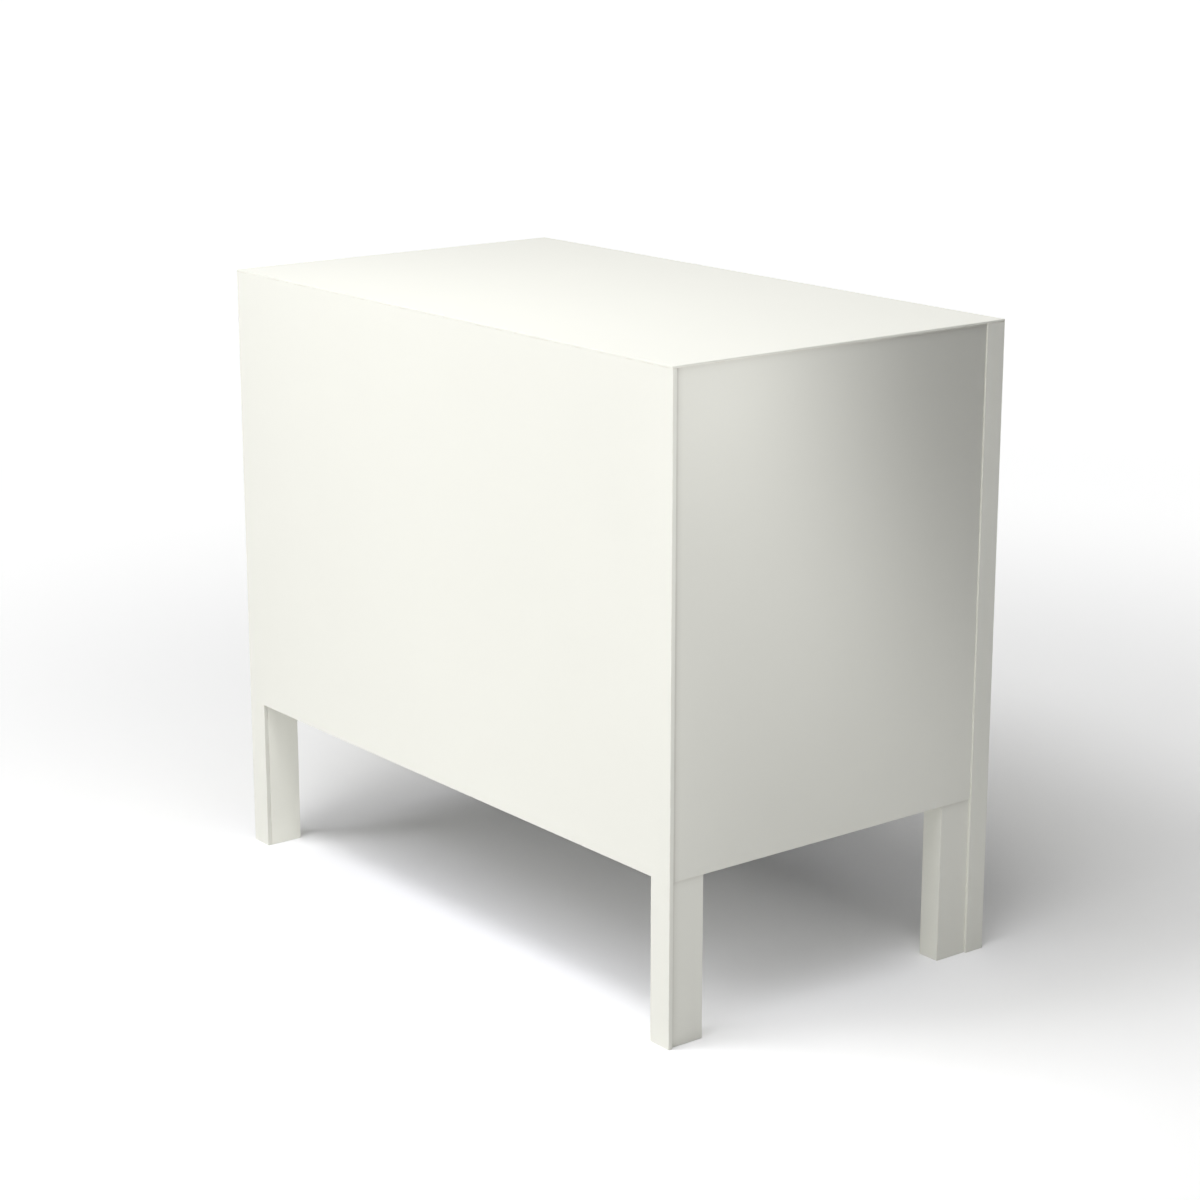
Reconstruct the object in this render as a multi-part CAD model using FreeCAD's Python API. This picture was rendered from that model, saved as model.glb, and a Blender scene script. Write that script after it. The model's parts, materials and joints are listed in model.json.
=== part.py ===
import FreeCAD, Part
import math
import os

# Dresser with three full-width drawers on steel roller runners.
# Millimetres, +Z up, the front faces -Y and left is -X. The origin lies on the floor, at the middle of the
# overall width and of the overall depth, knobs included.

# Overall sizes of the case
width = 800.0
depth = 449.0
height = 703.0
floor_clearance = 179.0

# Boards of the case
top_thickness = 18.0
top_lip = 2.5
back_thickness = 5.0
back_leg_width = 30.0
end_thickness = 12.0
end_recess = 1.5
post_recess = 3.0
post_depth = 41.5
bottom_thickness = 12.0
bottom_raise = 6.0
bottom_groove_depth = 6.0
edge_ease = 0.5

# Front frame
frame_thickness = 25.5
stile_width = 30.0
top_rail_height = 20.5
middle_rail_height = 20.0
bottom_rail_height = 25.0
tenon_length = 12.0
tenon_thickness = 10.0
tenon_shoulder = 3.0

# Drawers, named from the bottom up
levels = ("bottom", "middle", "top")
front_gap = 2.0
front_thickness = 20.0
front_ease = 1.0
side_thickness = 12.0
side_headroom = 27.0
side_ease = 1.0
side_housing = 6.0
rear_thickness = 12.0
rear_housing = 4.0
rear_inset = 6.0
rear_drop = 6.0
sheet_thickness = 4.0
sheet_raise = 8.0
sheet_groove_depth = 5.0

# Knobs
knob_projection = 25.0
knob_diameter = 30.0
knob_head_thickness = 11.0
knob_stem_diameter = 13.0
knob_spread = 400.0

# Roller runners
steel = 1.2
bend_radius = 0.6
runner_rear_space = 18.2
runner_lift = 5.0
seat_clearance = 0.3
rolling_clearance = 0.1
channel_slack = 0.7
channel_lip_height = 3.0
rail_gap = 1.0
rail_edge_offset = 1.8
lip_gap = 0.9
leg_gap = 0.7
stop_tab_depth = 5.0
stop_tab_width = 4.0

# Rollers and their riveted axles
rear_roller_diameter = 20.0
rear_axle_setback = 6.0
front_roller_floor_gap = 0.9
front_roller_setback = 2.0
roller_width = 5.5
roller_side_play = 0.2
roller_notch_margin = 3.0
kept_overlap = 75.5
axle_diameter = 6.0
axle_running_clearance = 0.05
axle_head_diameter = 8.4
axle_head_thickness = 0.9
axle_head_gap = 0.7

# One length by which every cut runs past the face it opens
overrun = 1.0

# Places in the case
half_width = width / 2
front_y = (knob_projection - depth) / 2
back_y = front_y + depth
frame_back_y = front_y + frame_thickness
back_inner_y = back_y - back_thickness
lip_z = height - top_lip
top_underside_z = height - top_thickness
inner_x = half_width - stile_width
end_outer_x = half_width - end_recess
end_inner_x = end_outer_x - end_thickness
post_outer_x = half_width - post_recess
front_post_back_y = frame_back_y + post_depth
rear_post_front_y = back_inner_y - post_depth
bottom_board_z = floor_clearance + bottom_raise
first_opening_z = floor_clearance + bottom_rail_height
clear_height = lip_z - top_rail_height - first_opening_z
opening_height = (clear_height - (len(levels) - 1) * middle_rail_height) / len(levels)
level_pitch = opening_height + middle_rail_height

# Section of a runner: distances inward from the post, and heights above the channel's floor
roller_offset = steel + axle_head_gap + axle_head_thickness + roller_side_play
roller_inner_side = roller_offset + roller_width
channel_width = roller_inner_side + lip_gap + steel
channel_flange_width = roller_inner_side + lip_gap
runner_space = channel_width + leg_gap + steel
channel_height = rolling_clearance + rear_roller_diameter + channel_slack
channel_top = channel_height + steel
rail_underside = channel_top + rail_gap
rail_top = rail_underside + steel
front_roller_diameter = rail_underside - rolling_clearance - front_roller_floor_gap
front_axle_height = front_roller_floor_gap + front_roller_diameter / 2
rear_axle_height = rolling_clearance + rear_roller_diameter / 2
side_lower_edge = steel
side_height = opening_height - runner_lift - side_lower_edge - side_headroom

# Places along the runners
channel_front_y = frame_back_y + seat_clearance
channel_rear_y = back_inner_y - runner_rear_space
front_axle_y = channel_front_y + front_roller_setback + front_roller_diameter / 2
rear_axle_y = channel_rear_y - steel - seat_clearance - rear_roller_diameter / 2
travel = rear_axle_y - front_axle_y - kept_overlap
front_back_y = front_y + front_thickness
box_rear_y = rear_axle_y + rear_axle_setback
box_outer_x = inner_x - runner_space
box_inner_x = box_outer_x - side_thickness

X = FreeCAD.Vector(1, 0, 0)
Y = FreeCAD.Vector(0, 1, 0)
Z = FreeCAD.Vector(0, 0, 1)
ORIGIN = FreeCAD.Vector(0, 0, 0)


def block(x_span, y_span, z_span):
    """A box between two places on each axis."""
    spans = (sorted(x_span), sorted(y_span), sorted(z_span))
    sizes = [high - low for low, high in spans]
    return Part.makeBox(*sizes, FreeCAD.Vector(*[low for low, high in spans]))


def rod(diameter, start, end):
    """A cylinder from one point to another."""
    run = end - start
    return Part.makeCylinder(diameter / 2, run.Length, start, run)


def mirrored(shape):
    """The same shape on the other side of the middle plane."""
    return shape.mirror(ORIGIN, X)


def edges_where(shape, along, *planes):
    """Straight edges that run along one axis and lie in every plane, given as pairs of axis and place."""
    found = []
    for edge in shape.Edges:
        start, end = edge.Vertexes[0].Point, edge.Vertexes[-1].Point
        runs_along = math.isclose(abs((end - start).dot(along)), edge.Length)
        in_planes = [abs(start.dot(axis) - place) < edge_ease / 2 for axis, place in planes]
        if runs_along and all(in_planes):
            found.append(edge)
    return found


def rounded_path(points, radii):
    """Lines and tangent arcs along an open row of points, with one radius per inner corner."""
    edges = []
    start = points[0]
    for before, corner, after, radius in zip(points, points[1:], points[2:], radii):
        incoming = (corner - before).normalize()
        outgoing = (after - corner).normalize()
        turn = incoming.getAngle(outgoing)
        reach = radius * math.tan(turn / 2)
        inward = (outgoing - incoming).normalize()
        enter = corner - incoming * reach
        leave = corner + outgoing * reach
        middle = corner + inward * (radius / math.cos(turn / 2) - radius)
        edges.append(Part.makeLine(start, enter))
        edges.append(Part.Arc(enter, middle, leave).toShape())
        start = leave
    edges.append(Part.makeLine(start, points[-1]))
    return edges


def bent_sheet(outline, y_span):
    """Sheet steel bent along an outline of (x, z) points, with the sheet to the left of its run."""
    near_points = [FreeCAD.Vector(x, y_span[0], z) for x, z in outline]
    runs = [(b - a).normalize() for a, b in zip(near_points, near_points[1:])]
    lefts = [FreeCAD.Vector(-run.z, 0, run.x) for run in runs]
    far_points = [near_points[0] + lefts[0] * steel]
    near_radii, far_radii = [], []
    for corner, left, next_left, next_run in zip(near_points[1:], lefts, lefts[1:], runs[1:]):
        far_points.append(corner + (left + next_left) * (steel / (1 + left.dot(next_left))))
        turns_left = left.dot(next_run) > 0
        near_radii.append(bend_radius + steel if turns_left else bend_radius)
        far_radii.append(bend_radius if turns_left else bend_radius + steel)
    far_points.append(near_points[-1] + lefts[-1] * steel)
    edges = rounded_path(near_points, near_radii) + rounded_path(far_points, far_radii)
    edges.append(Part.makeLine(near_points[0], far_points[0]))
    edges.append(Part.makeLine(near_points[-1], far_points[-1]))
    section = Part.Face(Part.Wire(Part.__sortEdges__(edges)))
    return section.extrude(Y * (y_span[1] - y_span[0]))


def opening_z(level):
    """Height of the lower edge of a drawer's opening."""
    return first_opening_z + level * level_pitch


def runner_z(level):
    """Height of the channel floor of a level's runners."""
    return opening_z(level) + runner_lift


def top_panel():
    """Top board, rebated underneath so that only its lip covers the frame, the ends and the back."""
    lip = block((-half_width, half_width), (front_y, back_y), (lip_z, height))
    rim = edges_where(lip, X, (Z, height)) + edges_where(lip, Y, (Z, height))
    body = block((-end_inner_x, end_inner_x), (frame_back_y, back_inner_y), (top_underside_z, lip_z))
    return lip.makeChamfer(edge_ease, rim).fuse(body).removeSplitter()


def back_panel():
    """Back sheet, cut away below the case but for a strip behind each rear post."""
    sheet = block((-half_width, half_width), (back_inner_y, back_y), (0, lip_z))
    strip_x = half_width - back_leg_width
    cut_y_span = (back_inner_y - overrun, back_y + overrun)
    return sheet.cut(block((-strip_x, strip_x), cut_y_span, (-overrun, floor_clearance)))


def side_panel_left():
    """End panel, grooved on its inner face for the bottom board."""
    panel = block((-end_outer_x, -end_inner_x), (frame_back_y, back_inner_y), (floor_clearance, lip_z))
    groove = block(
        (-end_inner_x - bottom_groove_depth, -end_inner_x + overrun),
        (front_post_back_y, rear_post_front_y),
        (bottom_board_z, bottom_board_z + bottom_thickness),
    )
    return panel.cut(groove)


def post_left(y_span):
    """Leg post: full thickness below the case, and a thinner run inside the end panel above its shoulder."""
    leg = block((-post_outer_x, -inner_x), y_span, (0, floor_clearance))
    foot = edges_where(leg, X, (Z, 0)) + edges_where(leg, Y, (Z, 0))
    upright = block((-end_inner_x, -inner_x), y_span, (floor_clearance, top_underside_z))
    return leg.makeChamfer(edge_ease, foot).fuse(upright).removeSplitter()


def bottom_panel():
    """Bottom board, notched round the posts and housed in both end panels."""
    z_span = (bottom_board_z, bottom_board_z + bottom_thickness)
    housed_x = end_inner_x + bottom_groove_depth
    board = block((-inner_x, inner_x), (frame_back_y, back_inner_y), z_span)
    wings = block((-housed_x, housed_x), (front_post_back_y, rear_post_front_y), z_span)
    return board.fuse(wings).removeSplitter()


def frame_rails():
    """Name, lower edge and height of every rail in the front frame."""
    names = ("lower_rail", "upper_rail", "top_rail")
    heights = (middle_rail_height, middle_rail_height, top_rail_height)
    rows = [("bottom_rail", floor_clearance, bottom_rail_height)]
    for level, (name, rail_height) in enumerate(zip(names, heights)):
        rows.append((name, opening_z(level) + opening_height, rail_height))
    return rows


def tenon_bar(z, rail_height):
    """Bar through both stub tenons of a rail, which also cuts their mortises."""
    reach = inner_x + tenon_length
    middle_y = front_y + frame_thickness / 2
    y_span = (middle_y - tenon_thickness / 2, middle_y + tenon_thickness / 2)
    return block((-reach, reach), y_span, (z + tenon_shoulder, z + rail_height - tenon_shoulder))


def rail(z, rail_height):
    """Rail of the front frame, its front arrises eased, with a stub tenon on each end."""
    bar = block((-inner_x, inner_x), (front_y, frame_back_y), (z, z + rail_height))
    bar = bar.makeChamfer(edge_ease, edges_where(bar, X, (Y, front_y)))
    return bar.fuse(tenon_bar(z, rail_height)).removeSplitter()


def stile_left():
    """Front frame stile from the floor to the top's lip, mortised for the rails."""
    stile = block((-half_width, -inner_x), (front_y, frame_back_y), (0, lip_z))
    stile = stile.makeChamfer(edge_ease, edges_where(stile, Z, (Y, front_y)))
    for name, z, rail_height in frame_rails():
        stile = stile.cut(tenon_bar(z, rail_height))
    return stile


def cabinet_runner_left(level):
    """Channel on the posts: track for the rear roller, front axle, end stop and travel stop."""
    z = runner_z(level)
    web_x = -inner_x
    outline = [
        (web_x + channel_flange_width, z + channel_top),
        (web_x, z + channel_top),
        (web_x, z - steel),
        (web_x + channel_width, z - steel),
        (web_x + channel_width, z + channel_lip_height),
    ]
    channel = bent_sheet(outline, (channel_front_y, channel_rear_y))
    notch = block(
        (web_x - overrun, web_x + channel_width + overrun),
        (channel_front_y - overrun, front_axle_y + front_roller_diameter / 2 + roller_notch_margin),
        (z + channel_height - bend_radius, z + channel_top + overrun),
    )
    end_stop = block(
        (web_x + steel, web_x + roller_inner_side),
        (channel_rear_y - steel, channel_rear_y),
        (z, z + channel_height),
    )
    pieces = [end_stop, travel_stop(z), axle(z, front_axle_y, front_axle_height, -inner_x + steel)]
    return channel.cut(notch).fuse(pieces).removeSplitter()


def travel_stop(z):
    """Tab under the channel's top flange that meets the rear roller when the drawer is fully out."""
    contact = channel_height - stop_tab_depth - rear_axle_height
    reach = math.sqrt((rear_roller_diameter / 2) ** 2 - contact ** 2)
    rear_y = rear_axle_y - travel - reach - seat_clearance
    middle_x = -inner_x + roller_offset + roller_width / 2
    return block(
        (middle_x - stop_tab_width / 2, middle_x + stop_tab_width / 2),
        (rear_y - steel, rear_y),
        (z + channel_height - stop_tab_depth, z + channel_height),
    )


def axle(z, y, axle_height, foot_x):
    """Riveted roller axle that stands on the sheet at foot_x, with a head beyond the roller's far side."""
    middle_x = -inner_x + roller_offset + roller_width / 2
    outward = math.copysign(1, middle_x - foot_x)
    foot = FreeCAD.Vector(foot_x, y, z + axle_height)
    head = FreeCAD.Vector(middle_x + outward * (roller_width / 2 + roller_side_play), y, z + axle_height)
    tip = head + X * outward * axle_head_thickness
    return rod(axle_diameter, foot, head).fuse(rod(axle_head_diameter, head, tip))


def drawer_runner_left(level):
    """Angle under the drawer's side, with the rail that runs on the front roller and the rear axle."""
    z = runner_z(level)
    outline = [
        (-box_inner_x, z + side_lower_edge),
        (-box_outer_x, z + side_lower_edge),
        (-box_outer_x, z + rail_top),
        (-inner_x + rail_edge_offset, z + rail_top),
    ]
    runner = bent_sheet(outline, (front_back_y + seat_clearance, box_rear_y))
    return runner.fuse(axle(z, rear_axle_y, rear_axle_height, -box_outer_x - steel)).removeSplitter()


def roller_pair(diameter, y, z):
    """Plastic rollers with a running bore, one on each side of the drawer."""
    start = FreeCAD.Vector(-inner_x + roller_offset, y, z)
    end = start + X * roller_width
    bore = rod(axle_diameter + 2 * axle_running_clearance, start - X * overrun, end + X * overrun)
    roller = rod(diameter, start, end).cut(bore)
    return Part.makeCompound([roller, mirrored(roller)])


def front_rollers(level):
    """Rollers at the front of a level's channels."""
    return roller_pair(front_roller_diameter, front_axle_y, runner_z(level) + front_axle_height)


def rear_rollers(level):
    """Rollers at the rear of a drawer's runners."""
    return roller_pair(rear_roller_diameter, rear_axle_y, runner_z(level) + rear_axle_height)


def side_z(level):
    """Height of the lower edge of a drawer's sides."""
    return runner_z(level) + side_lower_edge


def sheet_z_span(level):
    """Lower and upper face of a drawer's bottom sheet."""
    z = side_z(level) + sheet_raise
    return z, z + sheet_thickness


def rear_board(level, reach):
    """Back board of a drawer, standing on the sheet, with its ends at the given reach."""
    y_span = (box_rear_y - rear_inset - rear_thickness, box_rear_y - rear_inset)
    return block((-reach, reach), y_span, (sheet_z_span(level)[1], side_z(level) + side_height - rear_drop))


def drawer_sheet(level):
    """Bottom sheet of a drawer, in grooves in the front and both sides."""
    reach = box_inner_x + sheet_groove_depth
    return block((-reach, reach), (front_back_y - sheet_groove_depth, box_rear_y), sheet_z_span(level))


def drawer_side_left(level):
    """Drawer side, housed in the front, grooved for the sheet and housed out for the back board."""
    z = side_z(level)
    side = block(
        (-box_outer_x, -box_inner_x),
        (front_back_y - side_housing, box_rear_y),
        (z, z + side_height),
    )
    side = side.makeChamfer(side_ease, edges_where(side, Y, (Z, z), (X, -box_outer_x)))
    groove = block(
        (-box_inner_x - sheet_groove_depth, -box_inner_x + overrun),
        (front_back_y - side_housing - overrun, box_rear_y + overrun),
        sheet_z_span(level),
    )
    return side.cut(groove).cut(rear_board(level, box_inner_x + rear_housing))


def drawer_back(level):
    """Back board of a drawer, housed in its sides."""
    return rear_board(level, box_inner_x + rear_housing)


def drawer_front(level):
    """Inset front, eased all round, with housings for the sides and a groove for the sheet."""
    half = inner_x - front_gap
    z_span = (opening_z(level) + front_gap, opening_z(level) + opening_height - front_gap)
    board = block((-half, half), (front_y, front_back_y), z_span)
    rim = edges_where(board, X, (Y, front_y)) + edges_where(board, Z, (Y, front_y))
    housing = block(
        (-box_outer_x, -box_inner_x),
        (front_back_y - side_housing, front_back_y + overrun),
        (side_z(level), side_z(level) + side_height),
    )
    return board.makeChamfer(front_ease, rim).cut([housing, mirrored(housing), drawer_sheet(level)])


def knobs(level):
    """Pair of turned knobs: a round stem and a flat head."""
    radius = knob_diameter / 2
    outline = [
        (0, 0),
        (knob_stem_diameter / 2, 0),
        (knob_stem_diameter / 2, knob_projection - knob_head_thickness),
        (radius, knob_projection - knob_head_thickness),
        (radius, knob_projection),
        (0, knob_projection),
        (0, 0),
    ]
    pair = []
    for x in (-knob_spread / 2, knob_spread / 2):
        seat = FreeCAD.Vector(x, front_y, opening_z(level) + opening_height / 2)
        profile = Part.Face(Part.makePolygon([seat + X * out - Y * along for out, along in outline]))
        pair.append(profile.revolve(seat, Y))
    return Part.makeCompound(pair)


def carcass_pieces():
    """Single and paired pieces of the case, runners included, by name."""
    single = {"top_panel": top_panel(), "back_panel": back_panel(), "bottom_panel": bottom_panel()}
    for name, z, rail_height in frame_rails():
        single[name] = rail(z, rail_height)
    paired = {
        "side_panel": side_panel_left(),
        "stile": stile_left(),
        "front_post": post_left((frame_back_y, front_post_back_y)),
        "rear_post": post_left((rear_post_front_y, back_inner_y)),
    }
    return single, paired


def drawer_pieces(level):
    """Single and paired pieces of one drawer and of its runners, by name."""
    name = levels[level]
    single = {
        "drawer_front_" + name: drawer_front(level),
        "drawer_back_" + name: drawer_back(level),
        "drawer_bottom_" + name: drawer_sheet(level),
        "knobs_" + name: knobs(level),
        "front_rollers_" + name: front_rollers(level),
        "rear_rollers_" + name: rear_rollers(level),
    }
    paired = {
        "drawer_side_" + name: drawer_side_left(level),
        "drawer_runner_" + name: drawer_runner_left(level),
        "cabinet_runner_" + name: cabinet_runner_left(level),
    }
    return single, paired


def main():
    """Build every piece and write it as its own file."""
    os.makedirs("parts", exist_ok=True)
    groups = [carcass_pieces()] + [drawer_pieces(level) for level in range(len(levels))]
    for single, paired in groups:
        pieces = dict(single)
        for name, shape in paired.items():
            pieces[name + "_left"] = shape
            pieces[name + "_right"] = mirrored(shape)
        for name, shape in pieces.items():
            shape.exportStep("parts/" + name + ".step")
    print("drawer travel", travel, "runner length", channel_rear_y - channel_front_y)


main()
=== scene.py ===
"""Looks of a painted dresser with three drawers, built round its packed construction model.

Boards get eased arrises and satin paint, drawer boxes get birch plywood, and the steel runners get their
coat, screws and moulded rollers. Everything is in metres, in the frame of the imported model.
"""

import json
import logging
import math
from contextlib import contextmanager
from dataclasses import dataclass
from enum import Enum
from typing import Callable, Iterable, Iterator, Mapping, Optional, Sequence, Union

import bpy
from mathutils import Matrix, Vector

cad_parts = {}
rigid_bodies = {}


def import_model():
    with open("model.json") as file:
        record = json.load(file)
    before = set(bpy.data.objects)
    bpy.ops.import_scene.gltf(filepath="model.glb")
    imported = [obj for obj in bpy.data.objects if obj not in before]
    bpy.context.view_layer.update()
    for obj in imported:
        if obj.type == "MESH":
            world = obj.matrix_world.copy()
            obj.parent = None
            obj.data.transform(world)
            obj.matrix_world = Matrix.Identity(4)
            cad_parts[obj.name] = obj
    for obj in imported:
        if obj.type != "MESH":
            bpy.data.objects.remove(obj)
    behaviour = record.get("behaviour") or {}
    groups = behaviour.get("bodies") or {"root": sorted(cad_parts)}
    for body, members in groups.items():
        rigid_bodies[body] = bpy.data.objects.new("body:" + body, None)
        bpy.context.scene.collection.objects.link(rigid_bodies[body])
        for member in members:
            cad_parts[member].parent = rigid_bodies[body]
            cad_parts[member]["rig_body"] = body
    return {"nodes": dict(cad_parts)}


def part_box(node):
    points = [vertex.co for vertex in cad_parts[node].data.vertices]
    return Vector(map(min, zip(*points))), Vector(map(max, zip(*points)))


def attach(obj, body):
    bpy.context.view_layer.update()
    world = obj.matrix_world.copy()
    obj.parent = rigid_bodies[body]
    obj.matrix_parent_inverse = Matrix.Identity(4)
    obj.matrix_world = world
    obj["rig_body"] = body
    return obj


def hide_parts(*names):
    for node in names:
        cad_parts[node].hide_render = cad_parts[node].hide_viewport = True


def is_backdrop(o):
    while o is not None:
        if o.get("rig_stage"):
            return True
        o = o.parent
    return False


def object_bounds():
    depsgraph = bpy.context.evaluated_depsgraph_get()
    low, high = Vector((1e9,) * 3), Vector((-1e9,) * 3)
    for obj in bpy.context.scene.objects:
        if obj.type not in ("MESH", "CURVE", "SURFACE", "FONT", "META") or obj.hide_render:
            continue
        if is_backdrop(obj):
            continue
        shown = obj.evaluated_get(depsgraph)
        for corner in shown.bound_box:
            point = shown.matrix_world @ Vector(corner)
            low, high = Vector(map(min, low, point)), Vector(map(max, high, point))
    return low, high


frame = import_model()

LOG = logging.getLogger("dresser")
MM = 0.001

Pair = tuple[float, float]
Triple = tuple[float, float, float]
Colour = tuple[float, float, float]
Profile = Sequence[Pair]
Stops = Sequence[tuple[float, Colour]]
Key = Union[int, str]
Settings = Optional[Mapping[str, object]]
Inputs = Optional[Mapping[Key, object]]
Piece = bpy.types.Object
Face = bpy.types.MeshPolygon
FaceTest = Callable[[Face], float]


class Level(Enum):
    """The three drawers, from the floor up."""

    BOTTOM = "bottom"
    MIDDLE = "middle"
    TOP = "top"


class Side(Enum):
    """The two ends of the dresser, with the sign of their X."""

    LEFT = -1
    RIGHT = 1


class Grain(Enum):
    """The direction of a board's face grain, with the axis through its thickness."""

    ALONG_DEPTH = ("Y", "X")
    ALONG_WIDTH = ("X", "Y")


# Shader maths


def _math(operation: str, swapped: bool = False) -> Callable[..., "Signal"]:
    """Makes a method that adds one Math node.

    Args:
        operation: The node's operation.
        swapped: Whether the signal comes last, as in a reflected operator.

    Returns:
        The method.
    """

    def method(signal: "Signal", *others: "Number") -> "Signal":
        """The node's result, with the signal and the other values in its sockets."""
        values = (*others, signal) if swapped else (signal, *others)
        return signal.graph.signal("Math", {"operation": operation}, dict(enumerate(values)))

    return method


class Signal:
    """A shader value that takes part in arithmetic. Each operator adds one Math node."""

    def __init__(self, graph: "Graph", socket: bpy.types.NodeSocket) -> None:
        """Keeps the output socket that carries the value, and its graph."""
        self.graph = graph
        self.socket = socket

    __add__, __radd__ = _math("ADD"), _math("ADD", swapped=True)
    __sub__, __rsub__ = _math("SUBTRACT"), _math("SUBTRACT", swapped=True)
    __mul__, __rmul__ = _math("MULTIPLY"), _math("MULTIPLY", swapped=True)
    __gt__, __lt__ = _math("GREATER_THAN"), _math("LESS_THAN")
    __pow__ = _math("POWER")
    __abs__ = _math("ABSOLUTE")
    fraction = _math("FRACT")

    def between(self, low: float, high: float) -> "Signal":
        """A smooth rise from zero at one value to one at another, or a fall where the second is lower."""
        spans = {"Value": self, "From Min": low, "From Max": high}
        return self.graph.signal("MapRange", {"interpolation_type": "SMOOTHSTEP"}, spans)


Number = Union[Signal, float, int]


class Graph:
    """The node tree of a material or of the world, with one method that adds any node."""

    def __init__(self, owner: Union[bpy.types.Material, bpy.types.World]) -> None:
        """Empties the node tree.

        Args:
            owner: The new material or world.
        """
        owner.use_nodes = True
        self.owner = owner
        self.tree = owner.node_tree
        self.tree.nodes.clear()

    def node(self, kind: str, settings: Settings = None, inputs: Inputs = None) -> bpy.types.Node:
        """Adds a node, sets it and fills its sockets.

        Args:
            kind: The node's type, without ShaderNode.
            settings: Properties by name. A ramp takes its (place, colour) pairs as stops.
            inputs: Signals to link, or plain values, by the socket's name or place.

        Returns:
            The node.
        """
        made = self.tree.nodes.new(f"ShaderNode{kind}")
        for name, value in (settings or {}).items():
            if name == "stops":
                self._fill_ramp(made.color_ramp, value)
            else:
                setattr(made, name, value)
        for key, value in (inputs or {}).items():
            if isinstance(value, Signal):
                self.tree.links.new(value.socket, made.inputs[key])
            else:
                made.inputs[key].default_value = value
        return made

    def signal(self, kind: str, settings: Settings = None, inputs: Inputs = None, output: Key = 0) -> Signal:
        """One output of a node that is added as node() does."""
        return Signal(self, self.node(kind, settings, inputs).outputs[output])

    @staticmethod
    def _fill_ramp(ramp: bpy.types.ColorRamp, stops: Stops) -> None:
        """Gives a ramp its stops.

        Args:
            ramp: The colour ramp.
            stops: Place and colour of each stop, in order.
        """
        while len(ramp.elements) < len(stops):
            ramp.elements.new(1.0)
        for element, (place, colour) in zip(ramp.elements, stops):
            element.position = place
            element.color = (*colour, 1.0)

    def coordinates(self, output: str = "Object") -> Signal:
        """The surface's Object coordinates, or its Normal."""
        return self.signal("TexCoord", None, None, output)

    def axis(self, name: str, output: str = "Object") -> Signal:
        """X, Y or Z of the surface's coordinates."""
        return self.signal("SeparateXYZ", None, {0: self.coordinates(output)}, name)

    def pattern(self, cells: Union[float, Triple]) -> dict[str, object]:
        """Inputs of a pattern with so many cells per metre, one number or one for each axis."""
        stretch = {"Vector": self.coordinates(), "Scale": (cells,) * 3 if isinstance(cells, float) else cells}
        return {"Vector": self.signal("Mapping", None, stretch), "Scale": 1.0}

    def noise(self, cells: Union[float, Triple], detail: float = 2.0, warp: float = 0.0) -> Signal:
        """Soft noise from zero to one, with so many finer layers and so much distortion."""
        inputs = {**self.pattern(cells), "Detail": detail, "Distortion": warp}
        return self.signal("TexNoise", None, inputs, "Fac")

    def scattered(self, cells: Union[float, Triple], output: str = "Distance") -> Signal:
        """Scattered cells: the distance from the nearest centre, or the cell's own Color."""
        return self.signal("TexVoronoi", None, self.pattern(cells), output)

    def attribute(self, name: str) -> Signal:
        """A number that is kept on the mesh, zero where a mesh has none."""
        return self.signal("Attribute", {"attribute_name": name}, None, "Fac")

    def ramp(self, factor: Signal, stops: Stops) -> Signal:
        """A colour looked up along a ramp of stops."""
        return self.signal("ValToRGB", {"stops": stops}, {"Fac": factor})

    def mixed(self, factor: Number, first: Union[Signal, Colour], second: Union[Signal, Colour]) -> Signal:
        """A colour between two, the first where the factor is zero."""
        pair = [value if isinstance(value, Signal) else (*value, 1.0) for value in (first, second)]
        return self.signal("Mix", {"data_type": "RGBA"}, {0: factor, 6: pair[0], 7: pair[1]}, 2)

    def blended(self, factor: Signal, first: Signal, second: Signal) -> Signal:
        """A shader between two, the first where the factor is zero."""
        return self.signal("MixShader", None, {0: factor, 1: first, 2: second})

    def relief(self, height: Signal, depth: float, strength: float) -> Signal:
        """A normal that follows a height, where one is so many metres deep."""
        inputs = {"Height": height, "Distance": depth, "Strength": strength}
        return self.signal("Bump", None, inputs)

    def surface(self, inputs: Inputs) -> None:
        """Ends the graph in a Principled shader with these values in its sockets."""
        shader = self.signal("BsdfPrincipled", None, inputs)
        self.node("OutputMaterial", None, {"Surface": shader})

    def seen_directly(self) -> Signal:
        """One for rays from the camera, in reflections and through glass, and zero for light that bounces.

        Returns:
            The mask.
        """
        path = self.node("LightPath")
        kinds = ("Is Camera Ray", "Is Glossy Ray", "Is Transmission Ray")
        camera, glossy, through = (Signal(self, path.outputs[kind]) for kind in kinds)
        return (camera + glossy + through) > 0.5


# Finishes


def toned(colour: Colour, share: float) -> Colour:
    """A colour with all its parts times a share."""
    return tuple(share * part for part in colour)


@dataclass(frozen=True)
class Finish:
    """A finish that a piece can wear. Each kind draws its own graph, and each finish has one material."""

    name: str

    def draw(self, graph: Graph) -> None:
        """Fills an empty material graph."""
        raise NotImplementedError(self.name)

    def dress(self, piece: Piece) -> Piece:
        """Gives a piece this finish all over. The material is drawn when it is first asked for.

        Args:
            piece: The piece.

        Returns:
            The same piece.
        """
        if self not in MATERIALS:
            MATERIALS[self] = bpy.data.materials.new(self.name)
            self.draw(Graph(MATERIALS[self]))
        piece.data.materials.clear()
        piece.data.materials.append(MATERIALS[self])
        return piece


MATERIALS: dict[Finish, bpy.types.Material] = {}


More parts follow.
